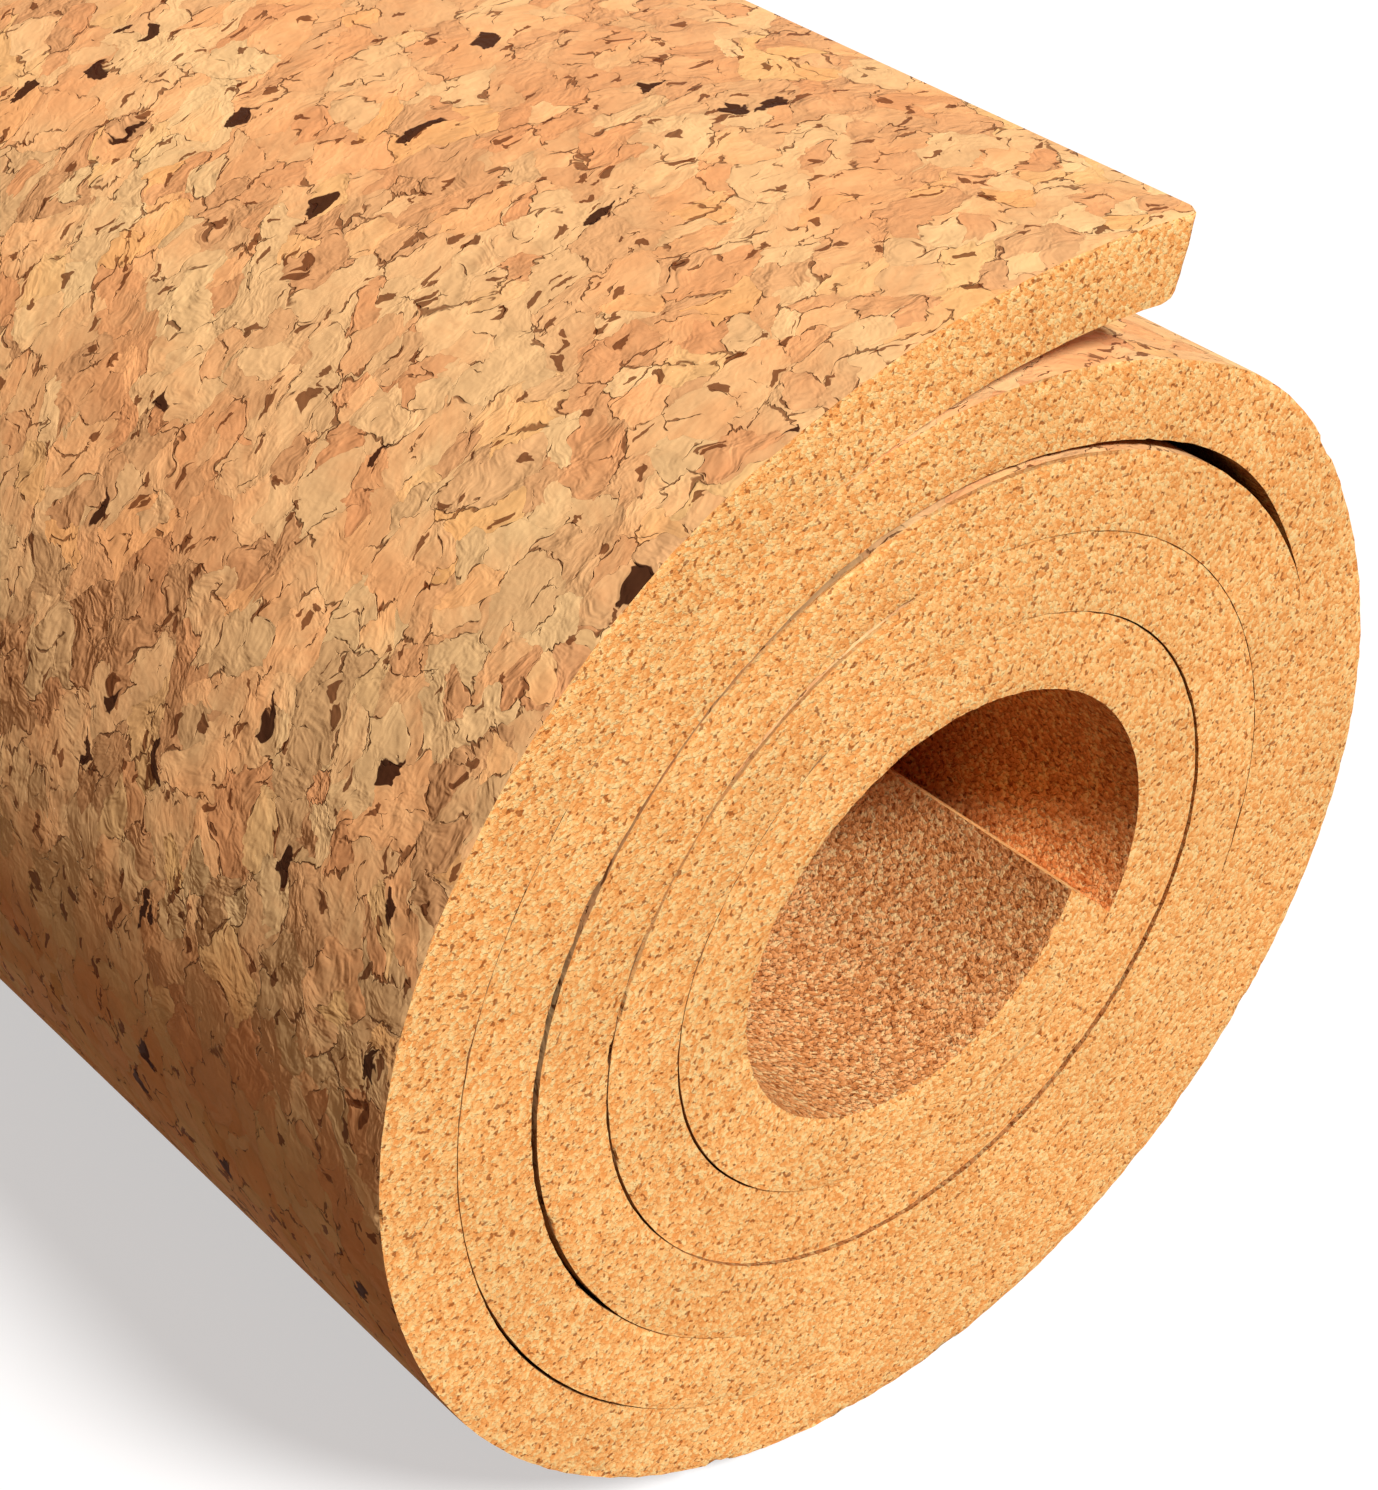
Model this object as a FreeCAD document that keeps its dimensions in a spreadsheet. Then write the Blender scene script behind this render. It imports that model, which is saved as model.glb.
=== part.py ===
import os

import FreeCAD
import Part
import Sketcher

from math import cos, degrees, radians, sin, sqrt

# Cork pin board roll: one thick sheet of bonded cork, wound up and lying on its side.
# Millimetres, +Z up. The roll's axis runs along Y, with the photographed end at -Y.
# In the section the sheet winds clockwise and outwards, from its inner end to the flap.

os.makedirs("parts", exist_ok=True)
doc = FreeCAD.newDocument("cork_pin_board_roll")

# Driving dimensions, in millimetres and degrees
SIZES = (
    ("sheet_thickness", 12.7),
    ("sheet_width", 1219.2),
    ("turn_gap", 0.3),
    ("core_radius", 37.0),
    ("oval_step", 11.0),
    ("oval_angle", 18.0),
    ("full_turns", 4),
    ("inner_end_angle", -23.0),
    ("inner_end_bevel", 25.0),
    ("bulge_angle", 48.0),
    ("bulge_rise", 2.2),
    ("bulge_half_angle", 36.0),
    ("crest_half_angle", 15.0),
    ("flap_angle", 111.5),
    ("flap_radius", 150.0),
    ("flap_length", 81.0),
    ("flap_end_slant", 8.0),
    ("flap_corner", 4.0),
)

# Values that follow from them: how far the winding's radius grows at each kind of station
DERIVED = (
    ("pitch", "=sheet_thickness + turn_gap"),
    ("flat_step", "=pitch / 4 + oval_step"),
    ("side_step", "=pitch / 4 - oval_step"),
    ("bulge_ratio", "=sin(bulge_half_angle) / sin(crest_half_angle) - 1"),
    ("bulge_drop", "=cos(crest_half_angle) - cos(bulge_half_angle)"),
    ("crest_drop", "=1 - cos(crest_half_angle)"),
    ("bulge_step", "=bulge_rise / (bulge_drop - bulge_ratio * crest_drop)"),
    ("crest_step", "=bulge_step * (bulge_ratio + 1)"),
)
sheet = doc.addObject("Spreadsheet::Sheet", "Sizes")
for row, (alias, value) in enumerate(SIZES + DERIVED, start=1):
    sheet.set(f"A{row}", alias)
    sheet.set(f"B{row}", str(value))
    sheet.setAlias(f"B{row}", alias)
doc.recompute()

QUARTER = 90
TURN = 360
START, END, CENTRE = 1, 2, 3


class Station:
    """A place in the winding where its radius changes: degrees before a named angle."""

    def __init__(self, angle_alias, before, step_alias, sign=1):
        self.angle = getattr(sheet, angle_alias) - before
        self.angle_text = f"(Sizes.{angle_alias} - {before})"
        self.step = sign * getattr(sheet, step_alias)
        self.step_text = f" {'+' if sign > 0 else '-'} Sizes.{step_alias}"

    def add(self, other):
        """Takes in the step of another station at the same angle."""
        self.step += other.step
        self.step_text += other.step_text


def quarter_stations(last_angle):
    """Four centres make the oval: side and flat steps take turns, one pitch in each turn."""
    stations = []
    before = 1.5 * QUARTER
    while sheet.oval_angle - before > last_angle:
        step = "side_step" if len(stations) % 2 == 0 else "flat_step"
        stations.append(Station("oval_angle", before, step))
        before += QUARTER
    return stations


def bulge_stations():
    """The last covered turn stands off the one below: flatter arcs beside a tighter crest."""
    turns = TURN * sheet.full_turns
    half, crest = sheet.bulge_half_angle, sheet.crest_half_angle
    return [
        Station("bulge_angle", turns - half, "bulge_step"),
        Station("bulge_angle", turns - crest, "crest_step", -1),
        Station("bulge_angle", turns + crest, "crest_step"),
        Station("bulge_angle", turns + half, "bulge_step", -1),
    ]


def in_order(stations):
    """The stations as the winding meets them, with those at one angle made one."""
    ordered = []
    for station in sorted(stations, key=lambda each: -each.angle):
        if ordered and abs(ordered[-1].angle - station.angle) < 0.01:
            ordered[-1].add(station)
        else:
            ordered.append(station)
    return ordered


def point_on(centre, radius, angle):
    """The point of a circle at an angle in degrees, in the section plane."""
    turn = radians(angle)
    return FreeCAD.Vector(centre.x + radius * cos(turn), centre.y + radius * sin(turn), 0)


class Bend:
    """One arc of the sheet's back face, with the texts that bind its radius and its sweep."""

    def __init__(self, centre, radius, start, end, radius_text, sweep_text):
        self.centre = centre
        self.radius = radius
        self.start = start
        self.end = end
        self.radius_text = radius_text
        self.sweep_text = sweep_text

    def arc(self, offset=0.0):
        """The sketch's arc. It runs counter-clockwise, so its START is the winding's later end."""
        circle = Part.Circle(self.centre, FreeCAD.Vector(0, 0, 1), self.radius + offset)
        return Part.ArcOfCircle(circle, radians(self.end), radians(self.start))


def winding():
    """The bends of the back face, from the inner end outwards to the flap."""
    flap_turns = TURN * (sheet.full_turns + 1)
    flap_start = sheet.flap_angle - flap_turns
    stations = in_order(quarter_stations(flap_start) + bulge_stations())
    centre = FreeCAD.Vector(0, 0, 0)
    radius = sheet.core_radius
    radius_text = "Sizes.core_radius"
    angle = sheet.inner_end_angle
    angle_text = "Sizes.inner_end_angle"
    bends = []
    for station in stations:
        sweep_text = f"({angle_text} - {station.angle_text}) * 1 deg"
        bends.append(Bend(centre, radius, angle, station.angle, radius_text, sweep_text))
        centre = point_on(centre, -station.step, station.angle)
        radius += station.step
        radius_text += station.step_text
        angle, angle_text = station.angle, station.angle_text
    sweep_text = f"({angle_text} - Sizes.flap_angle + {flap_turns}) * 1 deg"
    bends.append(Bend(centre, radius, angle, flap_start, radius_text, sweep_text))
    centre = point_on(centre, radius - sheet.flap_radius, flap_start)
    flap_end = flap_start - degrees(sheet.flap_length / (sheet.flap_radius + sheet.sheet_thickness))
    sweep_text = "Sizes.flap_length / (Sizes.flap_radius + Sizes.sheet_thickness) * 1 rad"
    bends.append(Bend(centre, sheet.flap_radius, flap_start, flap_end, "Sizes.flap_radius", sweep_text))
    return bends


def cut_reach(radius, lean, thickness):
    """How long a cut through the sheet is, from its back face out, leaning off square."""
    square = radius * cos(radians(lean))
    return sqrt(square**2 + thickness**2 + 2 * radius * thickness) - square


def draw_outline(sketch, bends):
    """The sheet's closed outline: back face, decorated face and its two cut ends."""
    first, flap = bends[0], bends[-1]
    thickness = sheet.sheet_thickness
    inner_back = point_on(first.centre, first.radius, first.start)
    cut_angle = first.start - sheet.inner_end_bevel
    cut_length = cut_reach(first.radius, sheet.inner_end_bevel, thickness)
    flap_face = point_on(flap.centre, flap.radius + thickness, flap.end)
    flap_cut_angle = flap.end - TURN / 2 - sheet.flap_end_slant
    lines = [
        Part.LineSegment(inner_back, point_on(inner_back, cut_length, cut_angle)),
        Part.LineSegment(flap_face, point_on(flap_face, thickness, flap_cut_angle)),
    ]
    back = [bend.arc() for bend in bends]
    face = [bend.arc(thickness) for bend in bends]
    sketch.addGeometry(back + face + lines, False)
    sketch.addGeometry([Part.LineSegment(first.centre, inner_back)], True)


def join_outline(sketch, count):
    """Tangent joints along both faces, one centre for each bend's two arcs, and the ends."""
    inner_cut, flap_cut, inner_ray = 2 * count, 2 * count + 1, 2 * count + 2
    last_face = 2 * count - 1
    tangents = []
    for index in range(count - 1):
        tangents.append(Sketcher.Constraint("Tangent", index, START, index + 1, END))
        face = count + index
        tangents.append(Sketcher.Constraint("Tangent", face, START, face + 1, END))
    meeting_points = [(index, CENTRE, count + index, CENTRE) for index in range(count)]
    meeting_points += [
        (0, CENTRE, -1, START),
        (inner_ray, START, 0, CENTRE),
        (inner_ray, END, 0, END),
        (inner_cut, START, 0, END),
        (inner_cut, END, count, END),
        (flap_cut, START, last_face, START),
        (flap_cut, END, count - 1, START),
    ]
    meetings = [Sketcher.Constraint("Coincident", *points) for points in meeting_points]
    sketch.addConstraint(tangents + meetings)


def bind_outline(sketch, bends):
    """Names every dimension of the outline and ties it to the sheet of sizes."""
    count = len(bends)
    inner_cut, flap_cut, inner_ray = 2 * count, 2 * count + 1, 2 * count + 2
    first, flap = bends[0], bends[-1]
    flap_cut_angle = flap.end - TURN / 2 - sheet.flap_end_slant
    flap_turns = TURN * (sheet.full_turns + 1)

    dimensions = []
    for index, bend in enumerate(bends):
        dimensions.append((f"back_radius_{index + 1}", "Radius", index, bend.radius, bend.radius_text))
    for index, bend in enumerate(bends[:-1]):
        sweep = radians(bend.start - bend.end)
        dimensions.append((f"sweep_{index + 1}", "Angle", index, sweep, bend.sweep_text))
    dimensions += [
        ("face_radius", "Radius", count, first.radius + sheet.sheet_thickness,
         "Sizes.core_radius + Sizes.sheet_thickness"),
        ("flap_sweep", "Angle", 2 * count - 1, radians(flap.start - flap.end), flap.sweep_text),
        ("inner_end", "Angle", inner_ray, radians(first.start), "Sizes.inner_end_angle * 1 deg"),
        ("inner_cut", "Angle", inner_cut, radians(first.start - sheet.inner_end_bevel),
         "(Sizes.inner_end_angle - Sizes.inner_end_bevel) * 1 deg"),
        ("flap_cut", "Angle", flap_cut, radians(flap_cut_angle + flap_turns),
         f"(Sizes.flap_angle - Sizes.flap_end_slant - {TURN / 2}) * 1 deg - {flap.sweep_text}"),
    ]
    for name, kind, geometry, value, text in dimensions:
        index = sketch.addConstraint(Sketcher.Constraint(kind, geometry, value))
        sketch.renameConstraint(index, name)
        sketch.setExpression(f"Constraints.{name}", text)


def corner_edge(shape, x, z):
    """The name of the edge along the roll that runs nearest to a place in the section."""
    def distance(edge):
        middle = edge.valueAt((edge.FirstParameter + edge.LastParameter) / 2)
        return (middle.x - x) ** 2 + (middle.z - z) ** 2
    long_edges = [(distance(edge), number) for number, edge in enumerate(shape.Edges, start=1)
                  if edge.Length > sheet.sheet_width / 2]
    return f"Edge{min(long_edges)[1]}"


def cork_sheet():
    """The rolled sheet: its outline padded by the sheet's width, the flap's corner worn round."""
    body = doc.addObject("PartDesign::Body", "cork_sheet")
    body.Label = "cork_sheet"
    plane = next(item for item in body.Origin.OriginFeatures if item.Role == "XZ_Plane")
    sketch = body.newObject("Sketcher::SketchObject", "SheetOutline")
    sketch.AttachmentSupport = [(plane, "")]
    sketch.MapMode = "FlatFace"
    bends = winding()
    draw_outline(sketch, bends)
    join_outline(sketch, len(bends))
    bind_outline(sketch, bends)

    pad = body.newObject("PartDesign::Pad", "SheetWidth")
    pad.Profile = sketch
    pad.setExpression("Length", "Sizes.sheet_width")
    pad.Midplane = True
    doc.recompute()

    flap_back = sketch.getPoint(len(bends) - 1, START)
    worn = body.newObject("PartDesign::Fillet", "FlapCorner")
    worn.Base = (pad, [corner_edge(pad.Shape, flap_back.x, flap_back.y)])
    worn.setExpression("Radius", "Sizes.flap_corner")
    body.Tip = worn
    doc.recompute()

    box = body.Shape.BoundBox
    body.Placement.Base = FreeCAD.Vector(-box.Center.x, -box.Center.y, -box.ZMin)
    return body


pieces = [cork_sheet()]
doc.recompute()

for item in doc.Objects:
    if "Invalid" in item.State or "Error" in item.State:
        raise RuntimeError(f"{item.Name} failed: {item.State}")
for piece in pieces:
    if piece.Shape.isNull() or not piece.Shape.isValid():
        raise RuntimeError(f"{piece.Label} has no valid shape")
    piece.Shape.exportStep(f"parts/{piece.Label}.step")
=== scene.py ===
import math

import bpy
import numpy as np
from bpy.props import FloatProperty, FloatVectorProperty, IntProperty, PointerProperty
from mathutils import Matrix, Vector, noise


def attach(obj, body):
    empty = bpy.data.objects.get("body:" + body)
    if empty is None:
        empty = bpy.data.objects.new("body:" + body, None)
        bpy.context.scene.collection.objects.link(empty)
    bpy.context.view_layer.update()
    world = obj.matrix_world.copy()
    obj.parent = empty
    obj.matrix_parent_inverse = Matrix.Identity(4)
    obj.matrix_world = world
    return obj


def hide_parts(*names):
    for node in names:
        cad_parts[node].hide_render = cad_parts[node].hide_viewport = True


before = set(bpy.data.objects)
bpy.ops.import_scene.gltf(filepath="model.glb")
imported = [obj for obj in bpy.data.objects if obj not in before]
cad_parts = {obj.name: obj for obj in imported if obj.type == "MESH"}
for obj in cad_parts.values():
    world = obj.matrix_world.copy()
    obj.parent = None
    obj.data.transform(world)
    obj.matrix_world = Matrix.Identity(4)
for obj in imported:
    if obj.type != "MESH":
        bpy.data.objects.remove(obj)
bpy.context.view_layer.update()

bl_info = {
    "name": "Cork Pin Board Roll",
    "version": (1, 0, 0),
    "blender": (4, 5, 0),
    "location": "View3D > Sidebar > Cork Roll",
    "description": "Dresses a wound sheet of bonded pin board cork and sets the studio round it",
    "category": "Object",
}

NODE = "cork_sheet"
MM = 0.001
TURN = 360.0
FLAT_PLACE = "flat_place"
VENEER_SHOWN = "veneer_shown"
PAINTED_GAP_SHADE = "painted_gap_shade"

# The flat sheet's mesh: the width of a column, and cuts so far in from its faces and from its rims
COLUMN = 1.05 * MM
CUTS_THROUGH = (0.5 * MM, 1.6 * MM, 3.2 * MM, 4.8 * MM)
CUTS_ACROSS = (0.5 * MM, 2 * MM, 6 * MM, 30 * MM, 200 * MM)

# How far the lean of each end's cut reaches into the sheet, and how much of the inner one shows
INNER_CUT_REACH = 25 * MM
FLAP_CUT_REACH = 40 * MM
INNER_CUT_SHARE = 0.75

# Wear: the flap's corners seen from above, the rims' round, and how uneven and rough the ends are
PLAN_CORNER = 2.2 * MM
RIM_REACH = 0.7 * MM
SUNK_DEPTH = 1.1 * MM
SUNK_REACH = 0.25
END_ROUGHNESS = 0.16 * MM

# How far each side of a gap gives way where two turns press together, in mm
PRESSED = 0.147
# Open stretches of the gaps: heading, turn, half width in degrees, how much wider the gap is in mm
OPEN_STRETCHES = (
    (207, 1, 32, -0.08),
    (40, 1, 36, -0.14),
    (118, 2, 24, 0.35),
    (178, 2, 46, 0.20),
    (88, 3, 34, 0.45),
    (180, 3, 50, 0.16),
    (203, 3, 18, 0.30),
    (215, 4, 26, 0.02),
    (330, 4, 16, -0.10),
)
# Stretches where the rubbed face layer shows: heading, turn, half width in degrees, how strongly
VENEER_STRETCHES = (
    (134, 2, 40, 1.0),
    (84, 3, 20, 0.8),
    (112, 3, 26, 0.45),
    (300, 1, 16, 0.5),
)
# Stretches of the covered face that light reaches, left without the painted gap shade: heading, turn, half
# width in degrees
LIT_STRETCHES = ((78, 3, 34), (116, 2, 28))
# The painted shade on the covered back starts at the first of these angles past the inner end and is full
# at the second
PAINTED_SHADE_STARTS = 10
PAINTED_SHADE_FULL = 26
# Painted shade: how much of its colour a surface keeps deep in a gap
PAINTED_SHADE_KEEPS = 0.5

# Small flakes to one large one, and the cells a metre of the marks and the bark flecks
SMALL_FLAKES = 1.9
MARKS_A_METRE = 760.0
FLECKS_A_METRE = 350.0


def srgb(red, green, blue):
    """A colour named by its three screen values, as the linear colour that shaders use."""
    return tuple(((v / 255 + 0.055) / 1.055) ** 2.4 for v in (red, green, blue)) + (1.0,)


def length_property(name, millimetres, description):
    """A length that the sidebar shows in the scene's unit."""
    return FloatProperty(name=name, description=description, default=millimetres * MM,
                         subtype="DISTANCE", unit="LENGTH", precision=4)


def angle_property(name, degrees, description):
    """An angle that the sidebar shows in degrees."""
    return FloatProperty(name=name, description=description, default=math.radians(degrees),
                         subtype="ANGLE", unit="ROTATION")


def colour_property(name, red, green, blue, description):
    """A colour given by its screen values."""
    return FloatVectorProperty(name=name, description=description, default=srgb(red, green, blue),
                               subtype="COLOR", size=4, min=0.0, max=1.0)


class SheetSizes(bpy.types.PropertyGroup):
    """The wound sheet's sizes, as the solid part has them."""

    thickness: length_property("Thickness", 12.7, "From the sheet's back to its flaked face")
    width: length_property("Width", 1219.2, "Along the roll's axis")
    turn_gap: length_property("Turn gap", 0.3, "Between one turn and the next")
    core_radius: length_property("Core radius", 37.0, "Of the back face where the winding starts")
    oval_step: length_property("Oval step", 11.0, "How much the radius grows more on the flat sides")
    oval_angle: angle_property("Oval angle", 18.0, "Tilt of the oval's long axis")
    full_turns: IntProperty(name="Full turns", description="Turns wound before the last", default=4)
    inner_end_angle: angle_property("Inner end", -23.0, "Where the sheet's inner end lies")
    inner_end_bevel: angle_property("Inner bevel", 25.0, "Lean of the cut at the inner end")
    bulge_angle: angle_property("Bulge angle", 48.0, "Middle of the open crescent")
    bulge_rise: length_property("Bulge rise", 2.2, "How far the last turn stands off there")
    bulge_half_angle: angle_property("Bulge half angle", 36.0, "Half the crescent's reach")
    crest_half_angle: angle_property("Crest half angle", 15.0, "Half the reach of its crest")
    flap_angle: angle_property("Flap angle", 111.5, "Where the free flap leaves the turn below")
    flap_radius: length_property("Flap radius", 150.0, "Of the flap's back face")
    flap_length: length_property("Flap length", 81.0, "Of the flap's flaked face")
    flap_end_slant: angle_property("Flap slant", 8.0, "Lean of the cut at the flap's end")
    flap_corner: length_property("Flap corner", 4.0, "Radius of the worn corner at its back")


class CorkFinish(bpy.types.PropertyGroup):
    """Colours and grain of the cork."""

    flake_size: length_property("Flake size", 9.5, "Usual width of a flake on the face")
    grain_size: length_property("Granule size", 0.75, "Usual width of a granule on the cut edges")
    flake_pale: colour_property("Pale flake", 255, 209, 148, "Lightest flakes of the face")
    flake_tan: colour_property("Tan flake", 250, 181, 120, "Most flakes of the face")
    flake_rose: colour_property("Rose flake", 242, 164, 108, "Warmer flakes of the face")
    flake_grey: colour_property("Ochre flake", 238, 178, 104, "Duller flakes of the face")
    bark: colour_property("Bark", 66, 30, 16, "Flecks of bark in the face")
    crack: colour_property("Crack", 116, 56, 22, "Broken lines between flakes")
    grain: colour_property("Granule", 255, 192, 118, "Most granules of the cut edges")
    grain_pale: colour_property("Pale granule", 255, 218, 150, "Lightest granules")
    grain_brown: colour_property("Brown granule", 236, 148, 72, "Darker granules")
    pore: colour_property("Pore", 150, 72, 22, "Specks and pores between granules")
    veneer: colour_property("Veneer edge", 176, 120, 74, "The face layer where its edge is rubbed")
    back: colour_property("Back granule", 244, 172, 108, "Most granules of the sheet's back")
    back_pale: colour_property("Pale back granule", 255, 214, 150, "Lightest granules of the back")
    back_brown: colour_property("Brown back granule", 206, 128, 66, "Darker granules of the back")


class StudioSettings(bpy.types.PropertyGroup):
    """Lamps, floor and camera."""

    floor: colour_property("Floor", 255, 255, 255, "Pale floor")
    floor_bounce: colour_property("Floor bounce", 111, 90, 74, "The light that the floor throws back")
    key_strength: FloatProperty(name="Key lamp", default=3.9, min=0.0,
                                description="Strength of the main lamp, in front and above")
    back_power: FloatProperty(name="Back lamp", description="Power of the low lamp behind the roll",
                              default=25.0, min=0.0, unit="POWER")
    sky: FloatProperty(name="Sky", description="Strength of the even light from all sides",
                       default=0.15, min=0.0)
    lens: FloatProperty(name="Lens", description="Focal length for a 36 mm sensor", default=84.9,
                        min=1.0, unit="CAMERA")
    eye: FloatVectorProperty(name="Eye", description="Where the camera stands",
                             default=(-0.2708, -0.8792, 0.3989), subtype="XYZ", unit="LENGTH")
    heading: angle_property("Heading", 39.86, "The camera's turn from the roll's axis")
    tilt: angle_property("Tilt", 35.24, "How far down the camera looks")


class Bend:
    """One arc of the sheet's back: its centre in the section, radius, and first and last angle."""

    def __init__(self, centre, radius, start, end):
        self.centre = np.array(centre, float)
        self.radius = radius
        self.start = start
        self.end = end

    def point(self, angle, offset=0.0):
        """The place at an angle in degrees, so far outside the back face."""
        turn = math.radians(angle)
        return self.centre + (self.radius + offset) * np.array([math.cos(turn), math.sin(turn)])

    def length(self, offset=0.0):
        """The arc's length, so far outside the back face."""
        return (self.radius + offset) * math.radians(self.start - self.end)


def radius_steps(sizes):
    """(angle, step) wherever the winding's radius changes, in winding order."""
    pitch = sizes.thickness + sizes.turn_gap
    oval = math.degrees(sizes.oval_angle)
    flap_start = math.degrees(sizes.flap_angle) - TURN * (sizes.full_turns + 1)
    steps = []
    angle = oval - 135
    while angle > flap_start:
        sign = -1 if len(steps) % 2 == 0 else 1
        steps.append((angle, pitch / 4 + sign * sizes.oval_step))
        angle -= 90
    half, crest = sizes.bulge_half_angle, sizes.crest_half_angle
    ratio = math.sin(half) / math.sin(crest) - 1
    rise = sizes.bulge_rise / (math.cos(crest) - math.cos(half) - ratio * (1 - math.cos(crest)))
    tighten = rise * (ratio + 1)
    middle = math.degrees(sizes.bulge_angle) - TURN * sizes.full_turns
    half, crest = math.degrees(half), math.degrees(crest)
    steps += [(middle + half, rise), (middle + crest, -tighten)]
    steps += [(middle - crest, tighten), (middle - half, -rise)]
    return sorted(steps, reverse=True)


def winding(sizes):
    """The bends of the sheet's back, from its inner end outwards to the flap."""
    flap_start = math.degrees(sizes.flap_angle) - TURN * (sizes.full_turns + 1)
    centre, radius = np.zeros(2), sizes.core_radius
    angle = math.degrees(sizes.inner_end_angle)
    bends = []
    for station, step in radius_steps(sizes):
        bend = Bend(centre, radius, angle, station)
        bends.append(bend)
        centre = bend.point(station) + (bend.centre - bend.point(station)) / radius * (radius + step)
        radius += step
        angle = station
    last = Bend(centre, radius, angle, flap_start)
    bends.append(last)
    tip = last.point(flap_start)
    centre = tip + (last.centre - tip) / radius * sizes.flap_radius
    sweep = math.degrees(sizes.flap_length / (sizes.flap_radius + sizes.thickness))
    bends.append(Bend(centre, sizes.flap_radius, flap_start, flap_start - sweep))
    return [bend for bend in bends if bend.start - bend.end > 0.01]


def resting_shift(bends, sizes):
    """Moves the section so that it rests on the floor, its box centred on the frame's origin."""
    places = [bend.point(angle, offset) for bend in bends for offset in (0.0, sizes.thickness)
              for angle in np.linspace(bend.start, bend.end, 200)]
    places = np.array(places)
    low, high = places.min(axis=0), places.max(axis=0)
    return -np.array([(low[0] + high[0]) / 2, low[1]])


def select_only(obj):
    """Makes one object the active and only selected one."""
    bpy.ops.object.select_all(action="DESELECT")
    obj.hide_set(False)
    obj.select_set(True)
    bpy.context.view_layer.objects.active = obj


def winding_curve(bends, shift, offset):
    """A Bezier curve along the middle of the sheet, its arcs as the bends give them."""
    bpy.ops.object.select_all(action="DESELECT")
    bpy.ops.curve.primitive_bezier_curve_add(location=(0, 0, 0))
    curve = bpy.context.object
    curve.name = "winding_line"
    data = curve.data
    data.dimensions = "2D"
    data.resolution_u = 24
    knots = []
    widest = 45
    for bend in bends:
        pieces = max(1, math.ceil((bend.start - bend.end) / widest))
        step = math.radians(bend.start - bend.end) / pieces
        reach = 4 / 3 * math.tan(step / 4) * (bend.radius + offset)
        for index in range(pieces + (bend is bends[-1])):
            angle = bend.start - math.degrees(step) * index
            turn = math.radians(angle)
            heading = np.array([math.sin(turn), -math.cos(turn)])
            knots.append((bend.point(angle, offset) + shift, heading, reach))
    spline = data.splines[0]
    spline.bezier_points.add(len(knots) - 2)
    before = 0.0
    for knot, (place, heading, reach) in zip(spline.bezier_points, knots):
        knot.handle_left_type = knot.handle_right_type = "FREE"
        knot.co = (*place, 0)
        knot.handle_left = (*(place - heading * before), 0)
        knot.handle_right = (*(place + heading * reach), 0)
        before = reach
    return curve


def graded(half, steps):
    """Cuts either side of the middle, each so far in from both edges."""
    return [sign * (half - step) for step in steps for sign in (-1, 1)]


def flat_slab(sizes, length):
    """The sheet laid out flat: X along the strip, Y through its thickness, Z across its width."""
    bpy.ops.object.select_all(action="DESELECT")
    bpy.ops.mesh.primitive_cube_add(size=1, location=(length / 2, 0, 0),
                                    scale=(length, sizes.thickness, sizes.width))
    slab = bpy.context.object
    slab.name = "rolled_cork_sheet"
    bpy.ops.object.transform_apply(location=True, rotation=True, scale=True)
    bpy.ops.object.mode_set(mode="EDIT")
    planes = [((0, y, 0), (0, 1, 0)) for y in graded(sizes.thickness / 2, CUTS_THROUGH)]
    planes += [((0, 0, z), (0, 0, 1)) for z in graded(sizes.width / 2, CUTS_ACROSS) + [0.0]]
    for place, normal in planes:
        bpy.ops.mesh.select_all(action="SELECT")
        bpy.ops.mesh.bisect(plane_co=place, plane_no=normal)
    bpy.ops.mesh.select_mode(type="EDGE")
    cuts = round(math.sqrt(length / COLUMN)) - 1
    for _ in range(2):
        bpy.ops.mesh.select_all(action="DESELECT")
        bpy.ops.object.mode_set(mode="OBJECT")
        for edge in slab.data.edges:
            ends = [slab.data.vertices[v].co for v in edge.vertices]
            edge.select = abs(ends[0].x - ends[1].x) > COLUMN / 2
        bpy.ops.object.mode_set(mode="EDIT")
        bpy.ops.mesh.subdivide(number_cuts=cuts)
    bpy.ops.object.mode_set(mode="OBJECT")
    return slab


def vertex_places(mesh):
    """The mesh's vertices as rows of numbers."""
    places = np.empty(len(mesh.vertices) * 3, np.float32)
    mesh.vertices.foreach_get("co", places)
    return places.reshape(-1, 3).astype(float)


def set_places(mesh, places):
    """Moves the mesh's vertices."""
    mesh.vertices.foreach_set("co", places.astype(np.float32).ravel())
    mesh.update()


class FlatSheet:
    """Where each vertex lies on the flat sheet, before anything moves it."""

    def __init__(self, mesh, sizes, length, angle):
        self.sizes, self.length, self.angle = sizes, length, angle
        self.places = vertex_places(mesh)
        self.along = self.places[:, 0]
        self.height = (self.places[:, 1] + sizes.thickness / 2) / sizes.thickness
        self.from_rim = sizes.width / 2 - np.abs(self.places[:, 2])
        self.rim_side = np.sign(self.places[:, 2])
        self.covered = angle > math.degrees(sizes.flap_angle) - TURN * sizes.full_turns
        self.covering = angle < math.degrees(sizes.inner_end_angle) - TURN


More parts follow.
